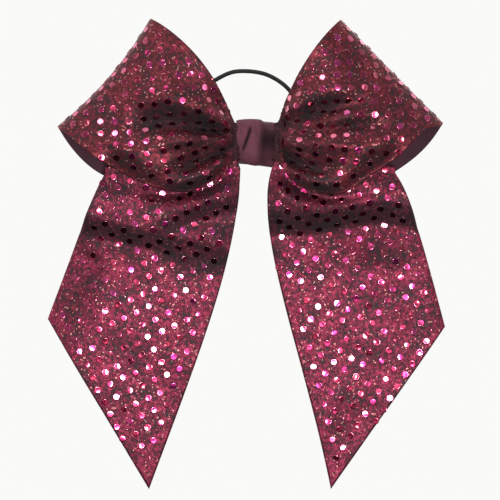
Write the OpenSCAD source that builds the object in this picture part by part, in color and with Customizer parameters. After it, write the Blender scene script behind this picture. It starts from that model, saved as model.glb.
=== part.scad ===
// Cheer hair bow: a gathered sequin ribbon with two loops and two tails,
// cinched by a small cable tie, wrapped by a plain band and worn on an elastic ring.
// +Z is up as worn, -Y is the front, the origin is the centre of the back pad's face.

/* [Ribbon] */
// Thickness of the woven backing ribbon
backing_t = 0.6; // [0.5:0.1:0.8]
// Thickness of the sequin fabric bonded to it
fabric_t = 0.6; // [0.5:0.1:0.8]
// Gap taken by the adhesive film between the two
film_t = 0.1; // [0.05:0.05:0.15]

/* [Loops] */
// Left loop's upper corner, out from the middle and up
left_top = [53.5, 63]; // [40:0.5:75]
// Left loop's outer corner, out from the middle and up
left_out = [101, 8]; // [5:0.5:105]
// Right loop's upper corner, out from the middle and up
right_top = [43, 62.5]; // [40:0.5:75]
// Right loop's outer corner, out from the middle and up
right_out = [95, 9.5]; // [5:0.5:105]
// How far the loops puff forward at their lower edge
puff_front = 19; // [17:0.5:22]
// How far the loops puff backward
puff_back = 14; // [12:0.5:16]

/* [Tails] */
// Left tail's outer corner, out from the middle and down
left_cut = [107, 90]; // [85:1:115]
// Left tail's tip, out from the middle and down
left_tip = [55, 177.5]; // [50:0.5:190]
// Right tail's outer corner, out from the middle and down
right_cut = [97, 94]; // [85:1:115]
// Right tail's tip, out from the middle and down
right_tip = [38.5, 177.5]; // [30:0.5:190]
// How far the tails step back below the loops
tail_step = 7; // [5:0.5:8]
// How far the tails bulge forward just under the loops
tail_bulge = 1.5; // [0.5:0.5:2]

/* [Knot] */
// Width of the band that covers the knot
band_w = 20; // [18:0.5:21]
// Height of the knot over the band
knot_h = 23; // [22:0.5:24]
// Thickness of the band
band_t = 1.2; // [1:0.1:1.4]
// Depth of the gathered ribbon inside the band
core_d = 12; // [11.5:0.1:12.5]
// Thickness of the felt pad behind the knot
pad_t = 1.6; // [1.4:0.1:2]

/* [Hair tie] */
// Diameter of the elastic cord
elastic_d = 2.2; // [2:0.1:2.4]
// Outer diameter of the metal crimp that joins its ends
crimp_d = 3.2; // [3:0.1:3.4]
// Length of the crimp
crimp_l = 9; // [8:0.5:10]
// How far the ring leans back from upright
ring_lean = 28; // [26:1:32]

/* [Hidden] */

maroon = "#70384a";
maroon_plain = "#7a4458";

// The knot's stack from back to front, measured along Y from the pad's face.
lap_t = 1.1;                       // overlapped end of the band, glued down at the back
crimp_room = 0.1;                  // running clearance on each side of the crimp
band_back_y = -pad_t - lap_t;      // outer back face of the band
seat_y = band_back_y - band_t;     // inner back face of the band
crimp_gap = crimp_d + 2 * crimp_room;
core_back_y = seat_y - crimp_gap;
core_front_y = core_back_y - core_d;
core_y = (core_back_y + core_front_y) / 2;
band_clear = 0.2;                  // gap between the gathered ribbon and the band
knot_r = 6;                        // corner radius of the band
band_inner_h = knot_h - 2 * band_t;
core_h = band_inner_h - 2 * band_clear;

// The hair tie turns about this line, which runs along X.
ring_y = seat_y - crimp_gap / 2;
ring_z = 4;

// Where the ribbon layers leave the knot.
layer_gap = 3;                     // between the middles of the front layer, the tail and the back layer
root_x = band_w / 2 + 1.4;
front_y = core_y - layer_gap;
back_y = core_y + layer_gap;
root_top = 10.5;
root_low = -9;
tail_root = [8, -13];              // inner corner of each tail's upper end
left_shoulder = [77, -15.5];       // where the outer edge of each tail comes out below its loop
right_shoulder = [71, -15.5];

loop_steps = 15;                   // facets from the knot to the fold
loop_rows = 10;                    // facets across the loop
tail_steps = 22;
tail_rows = 8;

// --- curves ---------------------------------------------------------------

function bezier3(a, b, c, t) = (1 - t) * (1 - t) * a + 2 * t * (1 - t) * b + t * t * c;
function bezier4(a, b, c, d, t) =
    pow(1 - t, 3) * a + 3 * t * pow(1 - t, 2) * b + 3 * t * t * (1 - t) * c + pow(t, 3) * d;
// A curve from a to c that stands off its chord by rise, to the left of the way from a to c.
function bowed(a, c, rise, t) =
    let (along = (c - a) / norm(c - a), left = [-along[1], along[0]])
    bezier3(a, (a + c) / 2 + 2 * rise * left, c, t);
function smooth(low, high, x) =
    let (t = min(1, max(0, (x - low) / (high - low)))) t * t * (3 - 2 * t);
// A patch through four edge points at (f, t) and its four corners.
function patch(top, low, near, far, corners, f, t) =
    (1 - t) * top + t * low + (1 - f) * near + f * far
    - (1 - f) * (1 - t) * corners[0] - (1 - f) * t * corners[1]
    - f * (1 - t) * corners[2] - f * t * corners[3];

// --- sheets ---------------------------------------------------------------

function unit(v) = v / norm(v);
function grid_normal(g, i, j) =
    let (n = len(g) - 1, m = len(g[0]) - 1)
    unit(cross(g[min(i + 1, n)][j] - g[max(i - 1, 0)][j], g[i][min(j + 1, m)] - g[i][max(j - 1, 0)]));
function lifted(g, h) = [for (i = [0 : len(g) - 1]) for (j = [0 : len(g[0]) - 1])
    g[i][j] + h * grid_normal(g, i, j)];

// A closed sheet between two heights over a grid of points.
module sheet(g, low, high) {
    n = len(g);
    m = len(g[0]);
    count = n * m;
    cell = function (i, j, base, flip)
        let (a = base + i * m + j, b = a + m)
        flip ? [[a, a + 1, b + 1], [a, b + 1, b]] : [[a, b + 1, a + 1], [a, b, b + 1]];
    rim = function (a, b, flip)
        flip ? [[a, b, b + count], [a, b + count, a + count]] : [[a, b + count, b], [a, a + count, b + count]];
    faces = concat(
        [for (i = [0 : n - 2]) for (j = [0 : m - 2]) each cell(i, j, 0, true)],
        [for (i = [0 : n - 2]) for (j = [0 : m - 2]) each cell(i, j, count, false)],
        [for (i = [0 : n - 2]) each rim(i * m, (i + 1) * m, true)],
        [for (i = [0 : n - 2]) each rim(i * m + m - 1, (i + 1) * m + m - 1, false)],
        [for (j = [0 : m - 2]) each rim(j, j + 1, false)],
        [for (j = [0 : m - 2]) each rim((n - 1) * m + j, (n - 1) * m + j + 1, true)]);
    polyhedron(points = concat(lifted(g, low), lifted(g, high)), faces = faces);
}

module backing_of(g) { color(maroon_plain) sheet(g, -backing_t, 0); }
module fabric_of(g) { color(maroon) sheet(g, film_t, film_t + fabric_t); }

// --- loops ----------------------------------------------------------------

// How much of the puff there is at a fraction f of the way out: none at the knot, round at the fold.
// The front swells straight from the knot, and the back stays flat behind the hair tie first.
function puffed(f, ahead) =
    (ahead ? 1 - pow(1 - f, 2.2) : smooth(0.05, 0.75, f)) * sqrt(max(0, 1 - pow(f, 4)));

// One layer of a loop in the plane of the bow, out from the middle and up.
function loop_plane(top, out, top_rise, fold_rise, belly, f, t) =
    let (near_top = [root_x, root_top], near_low = [root_x, root_low])
    patch(bowed(near_top, top, top_rise, f),
        bezier4(near_low, belly[0], belly[1], out, f),
        near_top + t * (near_low - near_top),
        bowed(top, out, fold_rise, t),
        [near_top, near_low, top, out], f, t);

// The whole loop: front layer out to the fold and back layer home, as a grid of points.
// Positive depth values point forward.
function loop_grid(side, top, out, top_rise, fold_rise, front_belly, back_belly) =
    [for (i = [-loop_steps : loop_steps])
        let (f = cos(90 * i / loop_steps), ahead = i < 0, reach = ahead ? puff_front : puff_back)
        [for (j = [0 : loop_rows])
            let (t = j / loop_rows,
                p = loop_plane(top, out, top_rise, fold_rise, ahead ? front_belly : back_belly, f, t),
                puff = reach * (0.7 + 0.3 * t) * puffed(f, ahead),
                root = ahead ? front_y : i > 0 ? back_y : core_y,
                y = root + (core_y - root) * f * f + (ahead ? -puff : puff))
            [side * p[0], y, p[1]]]];

function in_order(g, side) = side < 0 ? g : [for (i = [len(g) - 1 : -1 : 0]) g[i]];

left_loop = in_order(loop_grid(-1, left_top, left_out, 6, -3.5,
    [[25, -32], [62, -33]], [[30, -12], [76, -42]]), -1);
right_loop = in_order(loop_grid(1, right_top, right_out, 4, 0,
    [[20, -30], [60, -42]], [[28, -12], [69, -38]]), 1);

module loop_left_backing() { backing_of(left_loop); }
module loop_left_fabric() { fabric_of(left_loop); }
module loop_right_backing() { backing_of(right_loop); }
module loop_right_fabric() { fabric_of(right_loop); }

// --- tails ----------------------------------------------------------------

// Depth of a tail at a height z: it bulges forward under the loop, then steps back.
function tail_y(z) = core_y - tail_bulge * smooth(-13, -24, z) + (tail_step + tail_bulge) * smooth(-30, -48, z);

function tail_grid(side, shoulder, cut, tip, inner_bend, outer_bend) =
    let (low_cut = [cut[0], -cut[1]], low_tip = [tip[0], -tip[1]])
    [for (i = [0 : tail_steps])
        let (f = i / tail_steps)
        [for (j = [0 : tail_rows])
            let (t = j / tail_rows,
                p = patch(bezier4(tail_root, inner_bend[0], inner_bend[1], low_tip, f),
                    bezier4(shoulder, outer_bend[0], outer_bend[1], low_cut, f),
                    bowed(tail_root, shoulder, 4, t),
                    low_tip + t * (low_cut - low_tip),
                    [tail_root, shoulder, low_tip, low_cut], f, t))
            [side * p[0], tail_y(p[1]), p[1]]]];

left_tail = in_order(tail_grid(-1, left_shoulder, left_cut, left_tip,
    [[9, -60], [31, -112]], [[84, -28], [93, -52]]), 1);
right_tail = in_order(tail_grid(1, right_shoulder, right_cut, right_tip,
    [[-2, -45], [24, -105]], [[79, -26], [87, -56]]), -1);

module tail_left_backing() { backing_of(left_tail); }
module tail_left_fabric() { fabric_of(left_tail); }
module tail_right_backing() { backing_of(right_tail); }
module tail_right_fabric() { fabric_of(right_tail); }

// --- knot -----------------------------------------------------------------

// A rounded rectangle from y0 to y1, centred on z = 0, drawn as (y, z).
module rounded(y0, y1, high, r) {
    translate([y0 + r, -high / 2]) square([y1 - y0 - 2 * r, high]);
    translate([y0, -high / 2 + r]) square([y1 - y0, high - 2 * r]);
    for (y = [y0 + r, y1 - r], z = [-high / 2 + r, high / 2 - r])
        translate([y, z]) circle(r = r, $fn = 48);
}

// Draws a (y, z) outline as a slab of a given width, centred on x = 0.
module slab(wide) { translate([-wide / 2, 0, 0]) rotate([90, 0, 90]) linear_extrude(wide) children(); }

band_front_y = core_front_y - band_clear - band_t;
strap_w = 2.6;
strap_t = 1;
groove_d = 1.3;
head_size = [5, 4.4, 4.6];
head_z = -4.5;
head_y = seat_y - 0.15 - head_size[1] / 2;
play = 0.1;                        // room left round the strap and its head

module knot_band() {
    color(maroon_plain) slab(band_w) difference() {
        rounded(band_front_y, band_back_y, knot_h, knot_r);
        rounded(band_front_y + band_t, seat_y, band_inner_h, knot_r - band_t);
    }
}

module band_lap() {
    color(maroon_plain) translate([-band_w / 2 + 0.5, band_back_y, -7]) cube([band_w - 1, lap_t, 12]);
}

module back_pad() {
    color("#3a2a30") translate([0, -pad_t, 0]) rotate([-90, 0, 0]) linear_extrude(pad_t)
        intersection() {
            square([band_w, 18], center = true);
            circle(d = 24, $fn = 64);
        }
}

module gathered_centre() {
    color(maroon) difference() {
        slab(band_w + 0.2) rounded(core_front_y, core_back_y, core_h, knot_r - band_t - band_clear);
        slab(strap_w + 2 * play) difference() {
            square([200, 200], center = true);
            rounded(core_front_y + groove_d, core_back_y - groove_d, core_h - 2 * groove_d, 3.2);
        }
        translate([0, head_y, head_z]) cube([for (s = head_size) s + 2 * play], center = true);
    }
}

module strap_outline(grow) {
    difference() {
        rounded(core_front_y + groove_d - strap_t - play - grow, core_back_y - groove_d + strap_t + play + grow,
            core_h - 2 * (groove_d - strap_t - play) + 2 * grow, 4.2);
        rounded(core_front_y + groove_d - play + grow, core_back_y - groove_d + play - grow,
            core_h - 2 * (groove_d - play) - 2 * grow, 3.2);
    }
}

module cinch_strap() { color("#17171a") slab(strap_w) strap_outline(0); }

module cinch_head() {
    color("#17171a") difference() {
        translate([0, head_y, head_z]) cube(head_size, center = true);
        slab(strap_w + play) strap_outline(play / 2);
    }
}

// --- hair tie -------------------------------------------------------------

// The elastic's route in the plane of the ring: across, and out from the turning line.
ring_route = [[4, 0], [8, 0], [11, 0], [14.5, 1.5], [18, 5.5], [20.5, 11], [21, 18], [19.5, 24.5], [16, 30],
    [10.5, 35], [4, 38.5], [-4, 40], [-12, 39.5], [-19, 36], [-25, 31], [-28, 24], [-28, 17],
    [-25.5, 10], [-21, 5], [-16, 1.5], [-11, 0], [-8, 0], [-4, 0]];
ring_sides = 8;

function spline(a, b, c, d, t) =
    0.5 * (2 * b + (c - a) * t + (2 * a - 5 * b + 4 * c - d) * t * t + (3 * b - a - 3 * c + d) * t * t * t);
function on_route(p, t) =
    let (last = len(p) - 1, i = min(floor(t), last - 1))
    spline(p[max(i - 1, 0)], p[i], p[i + 1], p[min(i + 2, last)], t - i);
function leaned(p) = [p[0], ring_y + p[1] * sin(ring_lean), ring_z + p[1] * cos(ring_lean)];
ring_line = [for (t = [0 : 1 / 2 : len(ring_route) - 1]) leaned(on_route(ring_route, t))];

// A round tube along points that all lie in the leaned plane.
module tube(line, d, sides) {
    last = len(line) - 1;
    out = [0, cos(ring_lean), -sin(ring_lean)];
    points = [for (i = [0 : last])
        let (way = unit(line[min(i + 1, last)] - line[max(i - 1, 0)]), across = cross(way, out))
        for (k = [0 : sides - 1])
            line[i] + d / 2 * (cos(360 * k / sides) * out + sin(360 * k / sides) * across)];
    faces = concat(
        [[for (k = [0 : sides - 1]) k]],
        [[for (k = [sides - 1 : -1 : 0]) last * sides + k]],
        [for (i = [0 : last - 1]) for (k = [0 : sides - 1])
            let (a = i * sides + k, b = i * sides + (k + 1) % sides)
            each [[a, a + sides, b + sides], [a, b + sides, b]]]);
    polyhedron(points = points, faces = faces);
}

module elastic_ring() { color("#141416") tube(ring_line, elastic_d, ring_sides); }

// A metal sleeve pinched on the two ends of the elastic.
module ring_crimp() {
    socket = crimp_l / 2 - 4 + 0.05;
    color("silver") translate([0, ring_y, ring_z]) rotate([0, 90, 0]) difference() {
        cylinder(d = crimp_d, h = crimp_l, center = true, $fn = 48);
        for (end = [-1, 1])
            translate([0, 0, end * (crimp_l / 2 - socket / 2 + 0.05)])
                cylinder(d = elastic_d + 0.1, h = socket + 0.1, center = true, $fn = 48);
    }
}

knot_band();
band_lap();
back_pad();
gathered_centre();
cinch_strap();
cinch_head();
loop_left_backing();
loop_left_fabric();
loop_right_backing();
loop_right_fabric();
tail_left_backing();
tail_left_fabric();
tail_right_backing();
tail_right_fabric();
elastic_ring();
ring_crimp();
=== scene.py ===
"""Cheer hair bow: sequin ribbon, knot band, pads and elastic, drawn in place of the CAD's plain solids."""

import math

import bpy
import numpy as np
from mathutils import Matrix, Vector


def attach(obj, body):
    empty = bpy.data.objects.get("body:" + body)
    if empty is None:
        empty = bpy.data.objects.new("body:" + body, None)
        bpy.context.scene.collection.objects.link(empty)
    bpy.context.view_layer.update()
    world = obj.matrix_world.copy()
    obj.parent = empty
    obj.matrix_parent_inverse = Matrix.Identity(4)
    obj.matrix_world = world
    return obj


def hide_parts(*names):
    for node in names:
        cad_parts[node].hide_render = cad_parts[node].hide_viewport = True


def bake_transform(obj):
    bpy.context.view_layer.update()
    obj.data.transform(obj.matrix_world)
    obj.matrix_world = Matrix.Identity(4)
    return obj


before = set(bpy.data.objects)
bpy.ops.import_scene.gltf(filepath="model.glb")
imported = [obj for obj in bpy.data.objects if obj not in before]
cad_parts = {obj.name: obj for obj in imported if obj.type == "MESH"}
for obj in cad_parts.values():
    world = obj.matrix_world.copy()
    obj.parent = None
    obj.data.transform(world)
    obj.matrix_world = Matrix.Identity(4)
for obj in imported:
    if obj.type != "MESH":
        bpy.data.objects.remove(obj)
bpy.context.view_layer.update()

MM = 0.001
SEED = 20

# --- sizes shared with the CAD, in millimetres ---
BACKING_T = 0.6
FABRIC_T = 0.6
FILM_T = 0.1
BAND_W = 20
KNOT_H = 23
KNOT_R = 6
BAND_T = 1.2
BAND_FRONT_Y = -20.7
BAND_BACK_Y = -2.7
CORE_Y = -13.3
LAYER_GAP = 3
ROOT_X = 11.4
ROOT_TOP = 10.5
ROOT_LOW = -9
TAIL_ROOT = (8, -13)
PUFF_FRONT = 19
PUFF_BACK = 14
TAIL_STEP = 7
TAIL_BULGE = 1.5
RING_Y = -5.6
RING_Z = 4
RING_LEAN = 28
ELASTIC_D = 2.2
CRIMP_D = 3.2
CRIMP_L = 9

# --- ribbon and sequins, in millimetres ---
RIBBON_W = 76
SEQUIN_D = 3.45
SEQUIN_PITCH = 6.93
SEQUIN_MARGIN = 1.5
KNOT_CLEAR = 3.4
KNOT_LOW_Z = -11
DISC_SIDES = 16
DISC_LIFT = 0.16
DISC_TILT_DEG = 4.0
FLAKE_SIDES = 6
FLAKE_R = (0.14, 0.34)
FLAKE_LIFT = 0.08
FLAKE_TILT_DEG = 14
FLAKES_PER_MM2 = 0.032
CREASE_DEPTH = 1.35
HEM_ROWS = 4
HEM_X = 9.2
LOOP_TUCK = 6.5
TAIL_HEM_ROWS = 5
TAIL_HEM = (2.9, 3, 5)
LOOP_STEPS = 84
LOOP_ROWS = 84
TAIL_STEPS = 130
TAIL_ROWS = 72

# --- pieces at the knot, in millimetres ---
PAD_SIZE = (20, 18, 12)
PAD_T = 1.6
LAP_SIZE = (19, 12, 40)
LAP_DROP = 1
BAND_HOLLOW = 3.2
BUNDLE_FRONT_Y = -15.9
BUNDLE_BACK_Y = -7.4
BUNDLE_H = 17.8
BUNDLE_R = 4.0
BUNDLE_W = 20


# --- shader node helpers ---

def add_node(tree, kind, settings=(), values=()):
    node = tree.nodes.new(kind)
    for key, value in dict(settings).items():
        setattr(node, key, value)
    for key, value in dict(values).items():
        node.inputs[key].default_value = value
    return node


def ramp_colour(tree, source, stops):
    node = tree.nodes.new("ShaderNodeValToRGB")
    elements = node.color_ramp.elements
    while len(elements) < len(stops):
        elements.new(0.5)
    for element, (position, colour) in zip(elements, stops):
        element.position = position
        element.color = (*colour, 1)
    tree.links.new(source, node.inputs["Fac"])
    return node.outputs["Color"]


def map_node(tree, source, low, high, out_low, out_high):
    """Maps a value from low..high to out_low..out_high, and holds it at the ends."""
    node = add_node(tree, "ShaderNodeMapRange",
                    values={"From Min": low, "From Max": high, "To Min": out_low, "To Max": out_high})
    tree.links.new(source, node.inputs["Value"])
    return node.outputs["Result"]


def feed(tree, source, socket):
    """Links a socket to another, or sets its value."""
    if isinstance(source, bpy.types.NodeSocket):
        tree.links.new(source, socket)
    else:
        socket.default_value = source


def math_node(tree, operation, *sources, clamp=False):
    node = add_node(tree, "ShaderNodeMath", {"operation": operation, "use_clamp": clamp})
    for source, socket in zip(sources, node.inputs):
        feed(tree, source, socket)
    return node.outputs[0]


def mix_node(tree, factor, one, two, blend="MIX"):
    node = add_node(tree, "ShaderNodeMix", {"data_type": "RGBA", "blend_type": blend})
    feed(tree, factor, node.inputs["Factor"])
    feed(tree, one, node.inputs[6])
    feed(tree, two, node.inputs[7])
    return node.outputs[2]


def texture_node(tree, kind, place, settings=(), values=()):
    """A texture laid by place: UV is millimetres of cloth, Object is metres of the piece."""
    node = add_node(tree, kind, settings, values)
    where = tree.nodes.new("ShaderNodeTexCoord")
    tree.links.new(where.outputs[place], node.inputs["Vector"])
    return node


def noise(tree, place, scale, detail, roughness=0.5):
    values = {"Scale": scale, "Detail": detail, "Roughness": roughness}
    return texture_node(tree, "ShaderNodeTexNoise", place, values=values).outputs["Fac"]


def bump_node(tree, height, strength, distance, base=None):
    node = add_node(tree, "ShaderNodeBump", values={"Strength": strength, "Distance": distance})
    tree.links.new(height, node.inputs["Height"])
    if base is not None:
        tree.links.new(base, node.inputs["Normal"])
    return node.outputs["Normal"]


# --- camera and light ---

CAMERA_PLACE = (-0.0031, -0.9135, -0.0546)
LENS_MM = 127
SENSOR_MM = 36
AIM = (0, -0.013, -0.05)
SOFTBOXES = (
    ("key", (-0.36, -0.72, 0.64), (0.24, 0.24), 1.7),
    ("flash", (0.05, -1.0, -0.15), (0.19, 0.19), 5.4),
    ("fill_left", (-0.95, -0.35, 0.2), (0.3, 0.5), 1.5),
    ("fill_right", (0.95, -0.4, 0.3), (0.3, 0.4), 1.0),
    ("top", (-0.05, -0.15, 0.9), (0.5, 0.4), 0.9),
    ("back", (0.3, 0.95, 0.35), (0.5, 0.5), 3.0),
)
ROOM_GREYS = ((0.30, 0.02), (0.38, 0.10), (0.45, 0.38), (0.55, 0.42), (0.68, 0.22))
ROOM = ((0.0, (0.015, 0.014, 0.015)), *((place, (grey,) * 3) for place, grey in ROOM_GREYS),
        (1.0, (0.16, 0.16, 0.17)))
WALL = (1.2, 1.2, 1.17, 1)
PAPER = (0.955, 0.955, 0.94, 1)


def add_camera():
    data = bpy.data.cameras.new("camera")
    data.lens = LENS_MM
    data.sensor_width = SENSOR_MM
    data.clip_start = 0.01
    data.clip_end = 20
    camera = bpy.data.objects.new("camera", data)
    bpy.context.collection.objects.link(camera)
    camera.location = CAMERA_PLACE
    camera.rotation_euler = (math.pi / 2, 0, 0)
    bpy.context.scene.camera = camera


def add_softbox(name, place, size, power):
    data = bpy.data.lights.new(name, "AREA")
    data.shape = "RECTANGLE"
    data.size = size[0]
    data.size_y = size[1]
    data.energy = power
    light = bpy.data.objects.new(name, data)
    bpy.context.collection.objects.link(light)
    light.location = place
    way = Vector(AIM) - Vector(place)
    light.rotation_euler = way.to_track_quat("-Z", "Y").to_euler()
    light.visible_camera = False


def add_world():
    """A white wall behind the object, and in front of it a room that is dark below, for it to reflect."""
    world = bpy.data.worlds.new("studio")
    bpy.context.scene.world = world
    world.use_nodes = True
    tree = world.node_tree
    tree.nodes.clear()
    link = tree.links.new
    place = tree.nodes.new("ShaderNodeTexCoord")
    parts = tree.nodes.new("ShaderNodeSeparateXYZ")
    link(place.outputs["Generated"], parts.inputs[0])
    levels = ramp_colour(tree, map_node(tree, parts.outputs["Z"], -1, 1, 0, 1), ROOM)
    behind = map_node(tree, parts.outputs["Y"], -0.3, 0.25, 0, 1)
    above = map_node(tree, parts.outputs["Z"], -0.45, -0.05, 0, 1)
    both = math_node(tree, "MULTIPLY", behind, above)
    room = tree.nodes.new("ShaderNodeBackground")
    link(mix_node(tree, both, levels, WALL), room.inputs["Color"])
    paper = tree.nodes.new("ShaderNodeBackground")
    paper.inputs["Color"].default_value = PAPER
    rays = tree.nodes.new("ShaderNodeLightPath")
    mix = tree.nodes.new("ShaderNodeMixShader")
    out = tree.nodes.new("ShaderNodeOutputWorld")
    link(rays.outputs["Is Camera Ray"], mix.inputs["Fac"])
    link(room.outputs["Background"], mix.inputs[1])
    link(paper.outputs["Background"], mix.inputs[2])
    link(mix.outputs["Shader"], out.inputs["Surface"])


add_camera()
add_world()
for box in SOFTBOXES:
    add_softbox(*box)
bpy.context.scene.view_settings.view_transform = "Standard"


# --- mesh helpers ---

def make_object(name, points, faces, material, rounded=True, uv=None, fields=()):
    """A mesh from points in millimetres, with its uv in millimetres of cloth and fields of point values."""
    mesh = bpy.data.meshes.new(name)
    mesh.from_pydata((np.asarray(points, float) * MM).tolist(), [], faces)
    mesh.materials.append(material)
    mesh.polygons.foreach_set("use_smooth", np.full(len(mesh.polygons), rounded))
    corners = np.empty(len(mesh.loops), np.int32)
    mesh.loops.foreach_get("vertex_index", corners)
    if uv is not None:
        layer = mesh.uv_layers.new(name="cloth")
        layer.data.foreach_set("uv", np.asarray(uv, np.float32)[corners].ravel())
    for field, values in dict(fields).items():
        attribute = mesh.attributes.new(field, "FLOAT", "POINT")
        attribute.data.foreach_set("value", np.asarray(values, np.float32))
    mesh.update()
    piece = bpy.data.objects.new(name, mesh)
    bpy.context.collection.objects.link(piece)
    return piece


def stand_for(piece, node, body):
    """Puts a piece in place of a CAD node, to ride on that node's body."""
    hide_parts(node)
    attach(piece, body)


def ring_faces(rings, sides, start=0, closed=False):
    """Quads between neighbouring rings of points. A closed set also joins its last ring to its first."""
    faces = []
    for ring in range(rings if closed else rings - 1):
        here = start + ring * sides
        there = start + (ring + 1) % rings * sides
        for k in range(sides):
            e = (k + 1) % sides
            faces.append((here + k, there + k, there + e, here + e))
    return faces


def flipped(faces):
    return [face[::-1] for face in faces]


def unit(v):
    return v / np.maximum(np.linalg.norm(v, axis=-1, keepdims=True), 1e-9)


def smooth(low, high, x):
    t = np.clip((x - low) / (high - low), 0, 1)
    return t * t * (3 - 2 * t)


def lerp(a, b, t):
    return a + (b - a) * t


def grid_normals(grid, facing):
    """Unit normals of a grid, turned so that the point of the grid at facing[0] looks along facing[1]."""
    along = np.gradient(grid, axis=0)
    across = np.gradient(grid, axis=1)
    normals = unit(np.cross(along, across))
    (i, j), way = facing
    return normals if normals[i, j] @ np.array(way) > 0 else -normals


def thin_sheet(grid, normals, low, high, round_edge=0.16):
    """A closed sheet between two heights over a grid, with its edges rounded over."""
    n, m = grid.shape[:2]
    middle = (low + high) / 2
    inset = np.ones((n, m))
    inset[0] = inset[-1] = inset[:, 0] = inset[:, -1] = 1 - 2 * round_edge
    under = grid + normals * (middle + (low - middle) * inset)[..., None]
    over = grid + normals * (middle + (high - middle) * inset)[..., None]
    points = np.concatenate([under.reshape(-1, 3), over.reshape(-1, 3)])
    count = n * m
    index = np.arange(count).reshape(n, m)
    a, b = index[:-1, :-1].ravel(), index[1:, :-1].ravel()
    c, d = index[1:, 1:].ravel(), index[:-1, 1:].ravel()
    quads = [np.stack([a, d, c, b], 1), np.stack([a, b, c, d], 1) + count]
    rim = np.concatenate([index[:-1, 0], index[-1, :-1], index[:0:-1, -1], index[0, :0:-1]])
    after = np.roll(rim, -1)
    quads.append(np.stack([after, after + count, rim + count, rim], 1))
    faces = np.concatenate(quads)
    corner = np.cross(over[1, 0] - over[0, 0], over[0, 1] - over[0, 0]) @ normals[0, 0]
    if corner < 0:
        faces = faces[:, ::-1]
    return points, faces.tolist()


# --- the ribbon's surfaces, as in the CAD ---

def bezier3(a, b, c, t):
    return (1 - t) ** 2 * a + 2 * t * (1 - t) * b + t * t * c


def bezier4(a, b, c, d, t):
    return (1 - t) ** 3 * a + 3 * t * (1 - t) ** 2 * b + 3 * t * t * (1 - t) * c + t**3 * d


def bowed(a, c, rise, t):
    along = (c - a) / np.linalg.norm(c - a)
    left = np.array([-along[1], along[0]])
    return bezier3(a, (a + c) / 2 + 2 * rise * left, c, t)


def patch(top, low, near, far, corners, f, t):
    c0, c1, c2, c3 = corners
    return ((1 - t) * top + t * low + (1 - f) * near + f * far
            - (1 - f) * (1 - t) * c0 - (1 - f) * t * c1 - f * (1 - t) * c2 - f * t * c3)


def loop_plane(shape, belly, f, t):
    top, out = np.array(shape["top"], float), np.array(shape["out"], float)
    near_top, near_low = np.array([ROOT_X, ROOT_TOP]), np.array([ROOT_X, ROOT_LOW])
    return patch(bowed(near_top, top, shape["top_rise"], f),
                 bezier4(near_low, np.array(belly[0]), np.array(belly[1]), out, f),
                 lerp(near_top, near_low, t), bowed(top, out, shape["fold_rise"], t),
                 (near_top, near_low, top, out), f, t)


def puffed(f, ahead):
    rise = np.where(ahead, 1 - (1 - f) ** 2.2, smooth(0.05, 0.75, f))
    return rise * np.sqrt(np.maximum(0, 1 - f ** np.where(ahead, 6, 5)))


def loop_surface(shape):
    """The loop's middle surface: row 0 is the front layer's root, the last row the back layer's."""
    side = shape["side"]
    i = np.linspace(-1, 1, 2 * LOOP_STEPS + 1)[:, None, None]
    t = np.linspace(0, 1, LOOP_ROWS + 1)[None, :, None]
    f = np.cos(i * math.pi / 2)
    ahead = i < 0
    trim = shape["trim"] * smooth(shape["trim_from"], 0.7, f) * (1 - smooth(0.93, 1.0, f))
    plane = np.where(ahead, loop_plane(shape, shape["front_belly"], f, t * (1 - trim)),
                     loop_plane(shape, shape["back_belly"], f, t))
    reach = np.where(ahead, PUFF_FRONT, PUFF_BACK)
    puff = (reach * (0.7 + 0.3 * t) * puffed(f, ahead))[..., 0]
    root = np.where(ahead, CORE_Y - LAYER_GAP, np.where(i > 0, CORE_Y + LAYER_GAP, CORE_Y))
    depth = (root + (CORE_Y - root) * f * f)[..., 0]
    y = depth + np.where(ahead[..., 0], -puff, puff)
    grid = np.stack([side * plane[..., 0], y, plane[..., 1]], -1)
    return grid, np.broadcast_to(f[..., 0], y.shape), np.broadcast_to(t[..., 0], y.shape)


def tail_y(x, z, slanted):
    """Depth of a tail: it bulges forward under the loop, then steps back, twice and slanted on the left."""
    bulge = TAIL_BULGE * smooth(13, 24, -z)
    drop = TAIL_STEP + TAIL_BULGE
    if not slanted:
        low = 31 + 3 * np.sin(x / 13)
        return CORE_Y - bulge + drop * smooth(low, low + 15, -z)
    across = np.abs(x)
    inner = 1 - smooth(34, 66, across)
    upper = 22 + 0.30 * across
    lower = 60 - 0.24 * across
    return (CORE_Y - bulge + 0.48 * drop * inner * smooth(upper, upper + 11, -z)
            + drop * (1 - 0.48 * inner) * smooth(lower - 4, lower + 9, -z))


def tail_surface(shape):
    """The tail's middle surface: row 0 is its upper end and column 0 its inner edge."""
    side = shape["side"]
    shoulder, cut, tip, root = (
        np.array(place, float) for place in (shape["shoulder"], shape["cut"], shape["tip"], TAIL_ROOT))
    f = np.linspace(0, 1, TAIL_STEPS + 1)[:, None, None]
    t = np.linspace(0, 1, TAIL_ROWS + 1)[None, :, None]
    inner, outer = shape["inner_bend"], shape["outer_bend"]
    plane = patch(bezier4(root, np.array(inner[0]), np.array(inner[1]), tip, f),
                  bezier4(shoulder, np.array(outer[0]), np.array(outer[1]), cut, f),
                  bowed(root, shoulder, 4, t), lerp(tip, cut, t),
                  (root, shoulder, tip, cut), f, t)
    y = tail_y(plane[..., 0], plane[..., 1], side < 0)
    grid = np.stack([side * plane[..., 0], y, plane[..., 1]], -1)
    return grid, np.broadcast_to(f[..., 0], grid.shape[:2]), np.broadcast_to(t[..., 0], grid.shape[:2])


# --- folds and wrinkles ---

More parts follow.
